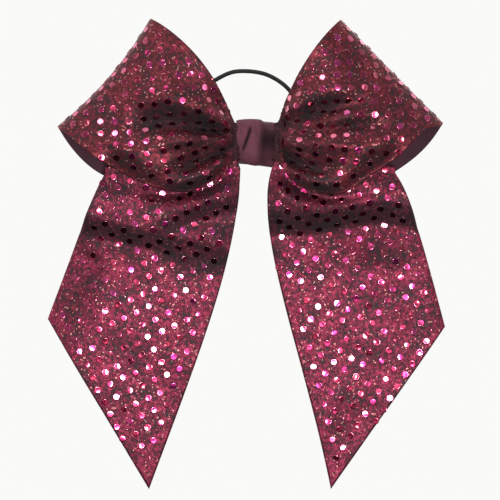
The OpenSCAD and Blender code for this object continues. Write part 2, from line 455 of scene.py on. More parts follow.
def route_points(route, count=48):
    """Points on one smooth curve through a route of two to four points."""
    route = np.array(route, float)
    t = np.linspace(0, 1, count)[:, None]
    knots = np.linspace(0, 1, len(route))
    order = min(3, len(route) - 1)
    return np.stack([np.polyval(np.polyfit(knots, route[:, k], order), t[:, 0]) for k in (0, 1)], 1)


def fold(x, z, route, depth, wide, wide_end):
    """How far a soft crease along a route pushes the cloth back. It fades out along the route."""
    points = route_points(route)
    gap = np.hypot(x[..., None] - points[:, 0], z[..., None] - points[:, 1])
    nearest = gap.argmin(-1)
    along = nearest / (len(points) - 1)
    width = wide + (wide_end - wide) * along
    strength = smooth(-0.02, 0.14, along) * (1 - 0.85 * smooth(0.45, 1.0, along))
    return depth * strength * np.exp(-((gap.min(-1) / width) ** 2))


def folds(x, z, routes):
    return sum(fold(x, z, *route) for route in routes)


def ripple(x, z, seed, size, height):
    """Low irregular waves about size across."""
    rng = np.random.default_rng(seed)
    total = np.zeros_like(x)
    for _ in range(9):
        angle = rng.uniform(0, math.pi)
        wave = size * rng.uniform(0.7, 1.5)
        shift = rng.uniform(0, 2 * math.pi)
        total += np.sin(2 * math.pi * (x * math.cos(angle) + z * math.sin(angle)) / wave + shift)
    return height * total / 3


def gathers(x, z, count, height, near, far):
    """Small pleats that spread from the knot and fade with distance."""
    reach = np.hypot(x, z)
    angle = np.arctan2(z, np.abs(x))
    wave = np.sin(count * angle + 1.3 * np.sin(2.3 * angle + 0.09 * reach))
    return height * wave * smooth(near - 4, near + 5, reach) * (1 - smooth(near + 6, far, reach))


# --- sequins ---

def arc_lengths(grid, zero_row):
    """Distance along the ribbon at each grid point, from its zero row."""
    steps = np.linalg.norm(np.diff(grid, axis=0), axis=-1)
    length = np.concatenate([np.zeros((1, grid.shape[1])), np.cumsum(steps, 0)])
    return length - length[zero_row]


def lattice(lengths, edge):
    """Sequin places as (row, column) of the grid: a square lattice turned by 45 degrees, a little uneven."""
    n, m = lengths.shape
    half = SEQUIN_PITCH / math.sqrt(2)
    low, high = lengths.min(), lengths.max()
    places = [(a * half, b * half + 1.2)
              for a in range(int(low / half) - 2, int(high / half) + 3)
              for b in range(int(RIBBON_W / half) + 2) if (a + b) % 2 == 0]
    rng = np.random.default_rng(SEED + n)
    spots = []
    for s, w in places:
        s += rng.normal(0, 0.22)
        w += rng.normal(0, 0.22)
        lost = rng.random() < 0.02
        if lost or not edge < w < RIBBON_W - edge:
            continue
        column = w / RIBBON_W * (m - 1)
        j = min(int(column), m - 2)
        here = lerp(lengths[:, j], lengths[:, j + 1], column - j)
        if not here[0] + 1.0 < s < here[-1] - edge:
            continue
        spots.append((np.interp(s, here, np.arange(n)), column))
    return np.array(spots)


def sample(field, spots):
    """Values of a grid field at fractional (row, column) places."""
    n, m = field.shape[:2]
    i = np.minimum(spots[:, 0].astype(int), n - 2)
    j = np.minimum(spots[:, 1].astype(int), m - 2)
    u, v = (spots[:, 0] - i)[:, None], (spots[:, 1] - j)[:, None]
    return ((1 - u) * (1 - v) * field[i, j] + u * (1 - v) * field[i + 1, j]
            + (1 - u) * v * field[i, j + 1] + u * v * field[i + 1, j + 1])


def thinned(points, least):
    """Which points to keep so that no two are nearer than least."""
    keep = []
    for k, point in enumerate(points):
        if not keep or np.linalg.norm(points[keep] - point, axis=1).min() >= least:
            keep.append(k)
    return np.array(keep)


def frames(normals, rng, spread):
    """Tangent frames of facets that each lean off their surface by a random few degrees."""
    lean = rng.normal(0, spread, (len(normals), 3))
    up = unit(normals + np.radians(lean))
    first = unit(np.cross(up, np.array([0.0, 0.31, 0.95])) + 1e-6)
    return up, first, np.cross(up, first)


def disc_field(name, points, normals, shade, material, seed):
    """Dished foil discs, one at each point, with a rolled rim and a random tilt."""
    rng = np.random.default_rng(seed)
    count = len(points)
    up, first, second = frames(normals, rng, DISC_TILT_DEG)
    dish = rng.normal(0.05, 0.06, count)
    radius = SEQUIN_D / 2 * rng.normal(1, 0.015, count)
    angle = np.linspace(0, 2 * math.pi, DISC_SIDES, endpoint=False) + rng.uniform(0, 1, count)[:, None]
    bend = rng.normal(0, 0.03, count)
    twist = rng.uniform(0, math.pi, count)
    rings = ((0.45, 0.0), (0.8, 0.0), (0.95, -0.02), (1.0, -0.08), (0.99, -0.2))
    made = [points[:, None, :] + up[:, None, :] * DISC_LIFT]
    for share, drop in rings:
        r = (radius * share)[:, None]
        height = (dish[:, None] * (share**2) + drop + DISC_LIFT
                  + bend[:, None] * share**2 * np.cos(2 * (angle - twist[:, None])))
        made.append(points[:, None] + r[..., None] * (np.cos(angle)[..., None] * first[:, None]
                    + np.sin(angle)[..., None] * second[:, None]) + height[..., None] * up[:, None])
    points_out = np.concatenate(made, 1)
    each = points_out.shape[1]
    faces = [(0, 1 + k, 1 + (k + 1) % DISC_SIDES) for k in range(DISC_SIDES)]
    faces += ring_faces(len(rings), DISC_SIDES, start=1)
    every = [tuple(base + v for v in face) for base in range(0, count * each, each) for face in faces]
    fields = {"tone": np.repeat(rng.random(count), each), "shade": np.repeat(shade, each)}
    return make_object(name, points_out.reshape(-1, 3), every, material, fields=fields)


def flake_field(name, grid, normals, shade, area, material, seed):
    """Fine glitter: tiny flat flakes that lean this way and that."""
    rng = np.random.default_rng(seed)
    count = int(area * FLAKES_PER_MM2)
    n, m = grid.shape[:2]
    spots = np.stack([rng.uniform(0, n - 1.01, count), rng.uniform(0.4, m - 1.4, count)], 1)
    points = sample(grid, spots)
    up, first, second = frames(unit(sample(normals, spots)), rng, FLAKE_TILT_DEG)
    radius = rng.uniform(*FLAKE_R, count)
    angle = np.linspace(0, 2 * math.pi, FLAKE_SIDES, endpoint=False)
    corners = (points[:, None] + radius[:, None, None] * (np.cos(angle)[None, :, None] * first[:, None]
               + np.sin(angle)[None, :, None] * second[:, None]) + FLAKE_LIFT * up[:, None])
    faces = [tuple(range(k, k + FLAKE_SIDES)) for k in range(0, count * FLAKE_SIDES, FLAKE_SIDES)]
    dark = sample(shade[..., None], spots)[:, 0]
    fields = {"tone": np.repeat(rng.random(count), FLAKE_SIDES), "shade": np.repeat(dark, FLAKE_SIDES)}
    return make_object(name, corners.reshape(-1, 3), faces, material, rounded=False, fields=fields)


# --- materials ---

WAVE_PITCH = 0.314  # what a wave texture repeats at when its scale is 1


def new_material(name):
    material = bpy.data.materials.new(name)
    material.use_nodes = True
    tree = material.node_tree
    shader = tree.nodes["Principled BSDF"]
    return material, tree, shader


def field_value(tree, name):
    """A value of the mesh: tone is random from piece to piece, and shade is painted shade, 1 deep in a fold.
    """
    return add_node(tree, "ShaderNodeAttribute", {"attribute_name": name}).outputs["Fac"]


def darken_by_painted_shade(tree, colour, least):
    """Darkens a colour by the shade field, which is painted shade, down to a least share of it where that
    shade is full.
    """
    grey = ramp_colour(tree, field_value(tree, "shade"), [(0.0, (1, 1, 1)), (1.0, (least, least, least))])
    return mix_node(tree, 1.0, colour, grey, "MULTIPLY")


def sequin_cloth_material(name, net, thin, full):
    """Charcoal net printed with a crimson metallic mist; where the shade field is high the mist gives way to
    charcoal, rougher and less metallic, as painted shade.
    """
    material, tree, shader = new_material(name)
    link = tree.links.new
    broad = math_node(tree, "MULTIPLY", noise(tree, "UV", 0.085, 3), 0.32)
    mixed = math_node(tree, "MULTIPLY_ADD", noise(tree, "UV", 0.5, 4, 0.66), 0.68, broad)
    specks = texture_node(tree, "ShaderNodeTexVoronoi", "UV", values={"Scale": 1.5})
    parts = tree.nodes.new("ShaderNodeSeparateColor")
    link(specks.outputs["Color"], parts.inputs["Color"])
    # Painted glints: a few cells of the mist are painted pale, in place of glitter catching the light.
    painted_glints = ramp_colour(tree, parts.outputs["Red"], [(0.965, (0, 0, 0)), (0.985, (1, 1, 1))])
    mist = ramp_colour(tree, mixed, [(0.42, net), (0.50, thin), (0.60, full)])
    mist = mix_node(tree, painted_glints, mist, (0.66, 0.26, 0.25, 1))
    shade = field_value(tree, "shade")
    # Painted shade: the shade field turns the mist to charcoal, broken up by the mist's own noise.
    wear_and_painted_shade = math_node(tree, "MULTIPLY", shade, map_node(tree, mixed, 0.46, 0.60, 1.0, 0.62))
    link(mix_node(tree, wear_and_painted_shade, mist, (0.029, 0.023, 0.026, 1)), shader.inputs["Base Color"])
    sheen = map_node(tree, parts.outputs["Green"], 0, 1, 0.36, 0.60)
    link(math_node(tree, "MULTIPLY_ADD", shade, 0.4, sheen, clamp=True), shader.inputs["Roughness"])
    metal = map_node(tree, mixed, 0.41, 0.54, 0.20, 0.80)
    metal = math_node(tree, "MULTIPLY", metal, map_node(tree, shade, 0, 1, 1, 0.1))
    link(metal, shader.inputs["Metallic"])
    knit = texture_node(tree, "ShaderNodeTexWave", "UV", {"bands_direction": "Y"},
                        {"Scale": 0.42, "Distortion": 0.8, "Detail": 1.0})
    knit = bump_node(tree, knit.outputs["Fac"], 0.4, 0.00012)
    link(bump_node(tree, mixed, 0.6, 0.0004, knit), shader.inputs["Normal"])
    shader.inputs["Specular IOR Level"].default_value = 0.2
    return material


def ribbon_material(name, dark, light, rib=0.9):
    """Woven ribbon with ribs at a pitch of rib millimetres across it, patchy in its colour from wear, and
    darkened by painted shade where the shade field is high.
    """
    material, tree, shader = new_material(name)
    link = tree.links.new
    ribs = texture_node(tree, "ShaderNodeTexWave", "UV", {"bands_direction": "X"},
                        {"Scale": WAVE_PITCH / rib, "Distortion": 0.25, "Detail": 1.0, "Detail Scale": 2.0})
    threads = texture_node(tree, "ShaderNodeTexWave", "UV", {"bands_direction": "Y"},
                           {"Scale": 0.75, "Distortion": 0.4, "Detail": 1.0})
    patchy = noise(tree, "UV", 0.11, 4, 0.6)
    tint = math_node(tree, "MULTIPLY_ADD", ribs.outputs["Fac"], 0.3, math_node(tree, "MULTIPLY", patchy, 0.7))
    colour = ramp_colour(tree, tint, [(0.28, dark), (0.72, light)])
    # Painted shade: the shade field darkens the ribbon down to an eighth of its colour.
    link(darken_by_painted_shade(tree, colour, 0.12), shader.inputs["Base Color"])
    link(map_node(tree, patchy, 0.3, 0.7, 0.62, 0.85), shader.inputs["Roughness"])
    raised = bump_node(tree, ribs.outputs["Fac"], 0.5, 0.00016)
    link(bump_node(tree, threads.outputs["Fac"], 0.4, 0.00008, raised), shader.inputs["Normal"])
    shader.inputs["Specular IOR Level"].default_value = 0.2
    shader.inputs["Sheen Weight"].default_value = 0.12
    shader.inputs["Sheen Roughness"].default_value = 0.5
    shader.inputs["Sheen Tint"].default_value = (0.8, 0.6, 0.7, 1)
    return material


def foil_material():
    """Pressed foil discs: crimson to magenta from disc to disc, scratched, under a clear film, and darkened
    by painted shade where the shade field is high.
    """
    material, tree, shader = new_material("sequin_foil")
    link = tree.links.new
    colour = ramp_colour(tree, field_value(tree, "tone"),
                         [(0.0, (0.44, 0.026, 0.070)), (0.5, (0.58, 0.034, 0.125)),
                          (0.85, (0.66, 0.036, 0.20)), (1.0, (0.70, 0.042, 0.29))])
    scratch = noise(tree, "Object", 900, 3, 0.6)
    scratched = ramp_colour(tree, scratch, [(0.35, (0.55, 0.5, 0.52)), (0.65, (1, 1, 1))])
    # The scratches are the foil's own wear; then the shade field darkens the discs to a quarter at most, as
    # painted shade.
    wear_and_painted_shade = mix_node(tree, 0.5, colour, scratched, "MULTIPLY")
    link(darken_by_painted_shade(tree, wear_and_painted_shade, 0.25), shader.inputs["Base Color"])
    link(map_node(tree, scratch, 0.3, 0.7, 0.13, 0.30), shader.inputs["Roughness"])
    link(bump_node(tree, scratch, 0.25, 0.00006), shader.inputs["Normal"])
    shader.inputs["Metallic"].default_value = 1.0
    shader.inputs["Coat Weight"].default_value = 1.0
    shader.inputs["Coat IOR"].default_value = 1.75
    shader.inputs["Coat Roughness"].default_value = 0.08
    return material


def glitter_material():
    material, tree, shader = new_material("glitter")
    tone = field_value(tree, "tone")
    colour = ramp_colour(tree, tone, [(0.0, (0.40, 0.05, 0.08)), (0.7, (0.60, 0.12, 0.17)),
                                      (1.0, (0.85, 0.60, 0.55))])
    # Painted shade: the shade field darkens the flakes down to a fifth of their colour.
    tree.links.new(darken_by_painted_shade(tree, colour, 0.2), shader.inputs["Base Color"])
    tree.links.new(map_node(tree, tone, 0, 1, 0.22, 0.4), shader.inputs["Roughness"])
    shader.inputs["Metallic"].default_value = 1.0
    return material


def grained_material(name, place, grain, stops, rough, bump, clumps=None):
    """One noise, grain, sets roughness and bump, and the colour too unless clumps gives that its own."""
    material, tree, shader = new_material(name)
    fine = noise(tree, place, *grain)
    spread = noise(tree, place, *clumps) if clumps else fine
    tree.links.new(ramp_colour(tree, spread, stops), shader.inputs["Base Color"])
    tree.links.new(map_node(tree, fine, 0.3, 0.7, *rough), shader.inputs["Roughness"])
    tree.links.new(bump_node(tree, fine, *bump), shader.inputs["Normal"])
    return material, shader


def felt_material():
    stops = [(0.32, (0.022, 0.012, 0.016)), (0.68, (0.06, 0.032, 0.042))]
    material, shader = grained_material("felt", "Object", (900, 6, 0.75), stops, (0.85, 1.0),
                                        (0.9, 0.0004), clumps=(170, 3))
    shader.inputs["Sheen Weight"].default_value = 0.6
    return material


def nylon_material():
    stops = [(0.3, (0.010, 0.010, 0.012)), (0.7, (0.022, 0.022, 0.025))]
    return grained_material("nylon", "Object", (1400, 3), stops, (0.38, 0.55), (0.3, 0.00005))[0]


def braid_material():
    """The black cover of the elastic."""
    stops = [(0.35, (0.004, 0.004, 0.0045)), (0.75, (0.012, 0.0115, 0.012))]
    material, shader = grained_material("elastic_braid", "UV", (1.2, 4), stops, (0.55, 0.8), (0.4, 0.00008))
    shader.inputs["Sheen Weight"].default_value = 0.04
    return material


def metal_material():
    stops = [(0.3, (0.42, 0.41, 0.40)), (0.7, (0.66, 0.65, 0.63))]
    rough, bump = (0.22, 0.42), (0.3, 0.00005)
    material, shader = grained_material("crimp_metal", "Object", (600, 4), stops, rough, bump)
    shader.inputs["Metallic"].default_value = 1.0
    return material


# The loops' cloth is a darker, less magenta copy of the tails' cloth, though both are the same ribbon:
# painted shade on the loops.
LOOP_CLOTH = sequin_cloth_material("sequin_cloth_loops", net=(0.030, 0.022, 0.025),
                                   thin=(0.118, 0.024, 0.032), full=(0.275, 0.042, 0.060))
TAIL_CLOTH = sequin_cloth_material("sequin_cloth_tails", net=(0.042, 0.022, 0.029),
                                   thin=(0.146, 0.022, 0.042), full=(0.31, 0.037, 0.080))
BACKING = ribbon_material("backing_ribbon", (0.058, 0.023, 0.035), (0.108, 0.040, 0.060))
PLAIN = ribbon_material("band_ribbon", (0.122, 0.037, 0.057), (0.198, 0.060, 0.091), rib=0.8)
FOIL = foil_material()
GLITTER = glitter_material()
FELT = felt_material()
NYLON = nylon_material()
BRAID = braid_material()
METAL = metal_material()


# --- hair tie ---

RING_ROUTE = [(4, 0), (8, 0), (11, 0), (14.5, 1.5), (18, 5.5), (20.5, 11), (21, 18), (19.5, 24.5), (16, 30),
              (10.5, 35), (4, 38.5), (-4, 40), (-12, 39.5), (-19, 36), (-25, 31), (-28, 24), (-28, 17),
              (-25.5, 10), (-21, 5), (-16, 1.5), (-11, 0), (-8, 0), (-4, 0)]


def ring_line(per_step):
    """The elastic's centreline: a smooth curve through its route, leaned back from upright."""
    route = np.array(RING_ROUTE, float)
    last = len(route) - 1
    flat = []
    for k in range(last * per_step + 1):
        i = min(k // per_step, last - 1)
        t = k / per_step - i
        a, b = route[max(i - 1, 0)], route[i]
        c, d = route[i + 1], route[min(i + 2, last)]
        flat.append(0.5 * (2 * b + (c - a) * t + (2 * a - 5 * b + 4 * c - d) * t * t
                           + (3 * b - a - 3 * c + d) * t**3))
    flat = np.array(flat)
    lean = math.radians(RING_LEAN)
    x, up = flat.T
    return np.stack([x, RING_Y + up * math.sin(lean), RING_Z + up * math.cos(lean)], 1)


def braided_tube(name, line, diameter, material):
    """A round cord with a raised diamond braid, closed at both ends."""
    lean = math.radians(RING_LEAN)
    out = np.array([0, math.cos(lean), -math.sin(lean)])
    way = unit(np.gradient(line, axis=0))
    across = np.cross(way, out)
    sides = 24
    angle = np.linspace(0, 2 * math.pi, sides, endpoint=False)[None]
    travel = np.concatenate([[0], np.cumsum(np.linalg.norm(np.diff(line, axis=0), axis=1))])[:, None]
    one, two = np.sin(6 * angle + travel * 3.2), np.sin(6 * angle - travel * 3.2)
    radius = diameter / 2 * (0.975 + 0.045 * np.maximum(one, two))
    points = line[:, None] + radius[..., None] * (np.cos(angle)[..., None] * out
                                                  + np.sin(angle)[..., None] * across[:, None])
    n = len(line)
    faces = [tuple(range(sides))[::-1], tuple(range((n - 1) * sides, n * sides))]
    faces += flipped(ring_faces(n, sides))
    uv = np.stack(np.broadcast_arrays(travel, angle * diameter / 2), -1).reshape(-1, 2)
    return make_object(name, points.reshape(-1, 3), faces, material, uv=uv)


def crimp_sleeve(name, material):
    """A metal sleeve with two pinched dents, flared and hollow at its ends."""
    sides, rows = 32, 46
    x = np.linspace(-CRIMP_L / 2, CRIMP_L / 2, rows)
    angle = np.linspace(0, 2 * math.pi, sides, endpoint=False)
    pinch = np.exp(-((np.abs(x) - 2.1) / 0.75) ** 2)
    lip = 0.06 * smooth(CRIMP_L / 2 - 0.9, CRIMP_L / 2, np.abs(x))
    outer = CRIMP_D / 2 * (1 - 0.14 * pinch[:, None] * np.abs(np.cos(angle))[None] ** 3) - 0.07 + lip[:, None]
    inner = np.full_like(outer, ELASTIC_D / 2 + 0.06)
    rings = [(x, outer), (x[::-1], inner[::-1])]
    points = []
    for place, radius in rings:
        for row in range(rows):
            points += [(place[row], RING_Y + radius[row, k] * math.cos(angle[k]),
                        RING_Z + radius[row, k] * math.sin(angle[k])) for k in range(sides)]
    return make_object(name, points, flipped(ring_faces(2 * rows, sides, closed=True)), material)


line = ring_line(24)
elastic = braided_tube("elastic_cord", line, ELASTIC_D, BRAID)
stand_for(elastic, "elastic_ring", "hair_tie")
crimp = crimp_sleeve("crimp_sleeve", METAL)
stand_for(crimp, "ring_crimp", "hair_tie")


# --- loops ---

# A crease, rise or shadow is its route in (x, z), its depth (for a shadow, the strength of its painted
# shadow), and its width at its start and at its end.
LOOPS = {
    "left": dict(
        side=-1, top=(53.5, 63), out=(101, 8), top_rise=6, fold_rise=-3.5, trim=0.02, trim_from=0.35,
        front_belly=((25.0, -32.0), (62.0, -33.0)), back_belly=((30.0, -12.0), (76.0, -42.0)),
        creases=(
            (((-10.7, 1.6), (-34, 9.0), (-54, 10.0), (-75, 3.5)), 5.8, 2.8, 7.5),
            (((-10.2, -3.6), (-26, -8.6), (-36, -12.8), (-46, -16)), 4.6, 2.4, 4.0),
            (((-11, 8), (-19, 20), (-28, 34)), 2.4, 2.2, 5.0),
        ),
        rises=(
            (((-14, 8), (-31, 18), (-55, 24), (-82, 15)), -2.4, 3.6, 7.5),
            (((-11, -0.8), (-27, 1.2), (-46, -0.5), (-64, -6)), -3.0, 2.2, 5.0),
            (((-11, -6.5), (-24, -15), (-39, -20.5), (-56, -20)), -2.4, 2.2, 4.5),
        ),
    ),
    "right": dict(
        side=1, top=(43, 62.5), out=(95, 9.5), top_rise=4, fold_rise=0, trim=0.085, trim_from=0.45,
        front_belly=((20.0, -30.0), (60.0, -42.0)), back_belly=((28.0, -12.0), (69.0, -38.0)),
        creases=(
            (((9.7, 4.2), (20, 12), (37, 17.5), (54, 18)), 5.2, 3.0, 6.0),
            (((12, 2.6), (36, 7), (58, 8.2), (75, 5)), 3.2, 2.2, 4.5),
            (((10.2, -3.2), (21, -10.2), (32, -14), (43, -15)), 4.6, 2.6, 4.2),
            (((11, 8.5), (17, 22), (24, 38)), 2.4, 2.2, 5.0),
        ),
        rises=(
            (((13, 8), (30, 22), (52, 28), (76, 22)), -2.2, 4.0, 8.0),
            (((11, 3.2), (28, 5.8), (48, 12.6), (74, 14)), -2.0, 2.0, 4.5),
            (((11, -0.6), (27, -1.6), (46, -2.6), (62, -2)), -2.8, 2.2, 5.5),
            (((11, -7.5), (20, -16.5), (34, -21.5), (52, -21)), -2.2, 2.2, 4.5),
        ),
    ),
}


def hemmed(grid):
    """Adds rows at both ends of a loop's grid that run in under the band, narrowing as they go."""
    share = np.linspace(0, 1, HEM_ROWS + 1)[1:, None, None]
    first, last = grid[:1], grid[-1:]
    into = np.array([HEM_X / ROOT_X, 1, 0.95])
    before = lerp(first, first * into, share[::-1])
    after = lerp(last, last * into, share)
    return np.concatenate([before, grid, after])


def loop_grid(shape):
    """The loop's surface with its wrinkles and hems, and how far the cloth is pressed in at each point."""
    grid, f, t = loop_surface(shape)
    x, z = grid[..., 0], grid[..., 2]
    n = len(grid) // 2
    ahead = np.arange(len(grid))[:, None] < n
    push = CREASE_DEPTH * folds(x, z, shape["creases"] + shape["rises"])
    push += gathers(x, z, count=9, height=0.8, near=12, far=34)
    push += ripple(x, z, SEED + 3 + n, size=26, height=0.5) * smooth(0.05, 0.3, f)
    near = smooth(0, 0.16, f) * 0.75 + 0.25
    keep = near * (1 - smooth(0.8, 0.97, f))
    behind = 0.35 * gathers(x, z, count=8, height=1.2, near=12, far=40) * keep
    tuck = LOOP_TUCK * smooth(0.78, 1.0, t) ** 2 * smooth(0.12, 0.4, f) * (1 - smooth(0.7, 0.9, f))
    grid[..., 1] += np.where(ahead, push * keep + tuck, behind)
    pressed = np.where(ahead, push * keep, 0)
    edge = ripple(x, grid[..., 1], SEED + 9 + n, size=30, height=0.45) * smooth(0.1, 0.5, f)
    grid[..., 2] += edge * smooth(0.75, 1, t)
    return hemmed(grid), np.pad(pressed, ((HEM_ROWS, HEM_ROWS), (0, 0)), mode="edge")


def add_ribbon(name, surface, grid, normals, shade, lengths):
    """The sequin cloth and its backing over one grid, with the discs and glitter on the cloth."""
    n, m = grid.shape[:2]
    uv = np.stack([lengths, np.broadcast_to(np.linspace(0, RIBBON_W, m), (n, m))], -1).reshape(-1, 2)
    uv = np.concatenate([uv, uv])
    points, faces = thin_sheet(grid, normals, -BACKING_T, 0)
    backing = make_object(f"{name}_backing_ribbon", points, faces, BACKING, uv=uv)
    points, faces = thin_sheet(grid, normals, FILM_T, FILM_T + FABRIC_T)
    # Painted shade: the shade field goes onto the cloth here, and is sampled for the discs and glitter below.
    dark = np.concatenate([shade.ravel(), shade.ravel()])
    cloth = make_object(f"{name}_sequin_cloth", points, faces, surface, uv=uv, fields={"shade": dark})
    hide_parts(f"{name}_backing")
    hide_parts(f"{name}_fabric")
    outer = grid + normals * (FILM_T + FABRIC_T)
    spots = lattice(lengths, SEQUIN_MARGIN)
    centres = sample(outer, spots)
    beside_band = centres[:, 2] > KNOT_LOW_Z
    clear = np.abs(centres[:, 0]) > np.where(beside_band, BAND_W / 2 + KNOT_CLEAR, 0)
    spots, centres = spots[clear], centres[clear]
    kept = thinned(centres, SEQUIN_D * 0.95)
    ways = unit(sample(normals, spots))
    dark = sample(shade[..., None], spots)[:, 0]
    discs = disc_field(f"{name}_sequins", centres[kept], ways[kept], dark[kept], FOIL, SEED + n + len(name))
    steps = np.linalg.norm(np.cross(np.diff(outer, axis=0)[:, :-1], np.diff(outer, axis=1)[:-1]), axis=-1)
    flakes = flake_field(f"{name}_glitter", outer, normals, shade, steps.sum(), GLITTER, SEED + 5 + n)
    for piece in (backing, cloth, discs, flakes):
        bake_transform(piece)


def add_loop(key):
    shape = LOOPS[key]
    grid, pressed = loop_grid(shape)
    n = len(grid)
    normals = grid_normals(grid, ((n // 4, LOOP_ROWS // 2), (0, -1, 0)))
    # Painted shade: darker deep in the creases and where the cloth faces down, and a painted shadow where the
    # cloth goes under the band.
    shade = np.maximum(0.95 * smooth(1.3, 4.6, pressed), 0.9 * smooth(0.30, 0.80, -normals[..., 2]))
    shade = np.maximum(shade, 0.85 * (1 - smooth(11.2, 15, np.abs(grid[..., 0]))))
    lengths = arc_lengths(grid, n // 2)
    add_ribbon(f"loop_{key}", LOOP_CLOTH, grid, normals, shade, lengths)


# --- tails ---

TAILS = {
    "left": dict(
        side=-1, cut=(107, -90), tip=(55, -177.5), shoulder=(77, -15.5), crown=3.2, crown_lean=1.35,
        inner_bend=((9.0, -60.0), (31.0, -112.0)), outer_bend=((84.0, -28.0), (93.0, -52.0)),
        creases=(
            (((-13, -12), (-30, -24), (-55, -25), (-80, -17)), 2.4, 3.0, 4.5),
            (((-9, -22), (-26, -29), (-46, -34)), -1.6, 3.5, 6.0),
            (((-14, -46), (-34, -47), (-56, -42)), -1.2, 5.0, 7.0),
            (((-82, -55), (-92, -75), (-98, -92)), 1.2, 10.0, 10.0),
        ),
        shadows=(
            (((-4, -27), (-22, -33), (-38, -37.5), (-52, -39)), 0.9, 3.2, 4.5),
            (((-4, -60), (-31, -60), (-48, -54), (-72, -44)), 1.0, 6.5, 4.5),
        ),
    ),
    "right": dict(
        side=1, cut=(97, -94), tip=(38.5, -177.5), shoulder=(71, -15.5), crown=2.6, crown_lean=1.6,
        inner_bend=((-2.0, -45.0), (24.0, -105.0)), outer_bend=((79.0, -26.0), (87.0, -56.0)),
        creases=(
            (((12, -12), (26, -25), (46, -28), (70, -20)), 2.4, 3.0, 4.5),
            (((9, -20), (22, -31), (44, -33)), -1.2, 3.0, 4.0),
            (((8, -36), (30, -41), (60, -40)), 1.0, 6.0, 8.0),
            (((70, -60), (76, -80), (80, -100)), 1.2, 9.0, 10.0),
        ),
        shadows=(
            (((2, -35), (24, -38), (48, -37), (72, -34)), 0.9, 6.0, 4.5),
        ),
    ),
}


def tail_grid(shape):
    """The tail's surface with its wrinkles, and hem rows above it that run up behind the loop."""
    grid, f, t = tail_surface(shape)
    x, z = grid[..., 0], grid[..., 2]
    push = folds(x, z, shape["creases"]) + gathers(x, z, count=7, height=0.7, near=14, far=40)
    push += ripple(x, z, SEED + 31 + shape["side"], size=42, height=0.5) * smooth(0.15, 0.4, f)
    push *= smooth(0.02, 0.14, f)
    push -= shape["crown"] * np.sin(math.pi * t ** shape["crown_lean"]) * smooth(0.3, 0.6, f)
    grid[..., 1] += push
    share = np.linspace(1, 0, TAIL_HEM_ROWS + 1)[:-1, None, None]
    across = t[:1, :, None]
    out, up, inner_up = TAIL_HEM
    rise = np.concatenate([shape["side"] * out * (1 - across) ** 6, 0 * across,
                           up + inner_up * (1 - across) ** 2], -1)
    return np.concatenate([grid[:1] + share * rise, grid])


def add_tail(key):
    shape = TAILS[key]
    side = shape["side"]
    grid = tail_grid(shape)
    n, m = grid.shape[:2]
    normals = grid_normals(grid, ((n // 2, m // 2), (0, -1, 0)))
    cut, tip = np.array([side, 1]) * (shape["cut"], shape["tip"])
    edge = tip - grid[-20, 0, [0, 2]]
    slant = float((tip - cut) @ (edge / np.linalg.norm(edge)))
    lengths = arc_lengths(grid, n - 1) - slant * np.linspace(0, 1, m)[None]
    x, z = grid[..., 0], grid[..., 2]
    # Painted shade: darker where the cloth faces down, in low patches under the loops, and along the shadow
    # routes as painted shadows.
    wear_and_painted_shade = smooth(-0.1, 1.3, ripple(x, 1.6 * z, SEED + 50 + side, size=34, height=1.0))
    shade = smooth(0.02, 0.64, -normals[..., 2]) * (0.72 + 0.25 * wear_and_painted_shade)
    shade = np.maximum(shade, 0.62 * wear_and_painted_shade * smooth(14, 24, -z) * (1 - smooth(46, 78, -z)))
    for shadow in shape["shadows"]:
        shade = np.maximum(shade, fold(x, z, *shadow))
    add_ribbon(f"tail_{key}", TAIL_CLOTH, grid, normals, shade, lengths)


for key in ("left", "right"):
    add_loop(key)
    add_tail(key)


# --- knot ---

def ring_outline(y0, y1, high, r, count):
    """Points round a rounded rectangle in (y, z), evenly spaced, and their outward normals."""
    corners = [(y1 - r, high / 2 - r, 0), (y0 + r, high / 2 - r, 90),
               (y0 + r, -high / 2 + r, 180), (y1 - r, -high / 2 + r, 270)]
    dense = []
    for cy, cz, start in corners:
        for a in np.radians(np.linspace(start, start + 90, 24)):
            dense.append((cy + r * math.cos(a), cz + r * math.sin(a)))
    dense = np.array(dense + dense[:1])
    run = np.concatenate([[0], np.cumsum(np.linalg.norm(np.diff(dense, axis=0), axis=1))])
    at = np.linspace(0, run[-1], count, endpoint=False)
    points = np.stack([np.interp(at, run, dense[:, k]) for k in (0, 1)], 1)
    ahead = np.roll(points, -1, 0) - np.roll(points, 1, 0)
    normals = unit(np.stack([ahead[:, 1], -ahead[:, 0]], 1))
    return points, normals, at


BAND_CREASES = (
    (((-2.2, 9), (-4.4, 2), (-6.6, -4), (-9.5, -12)), 1.7, 0.8, 1.1),
    (((-1, 10), (0.6, 3), (1.2, -4)), 0.7, 0.9, 1.6),
    (((-7.5, 9), (-8, 4), (-9, 0)), 0.6, 0.8, 1.2),
)


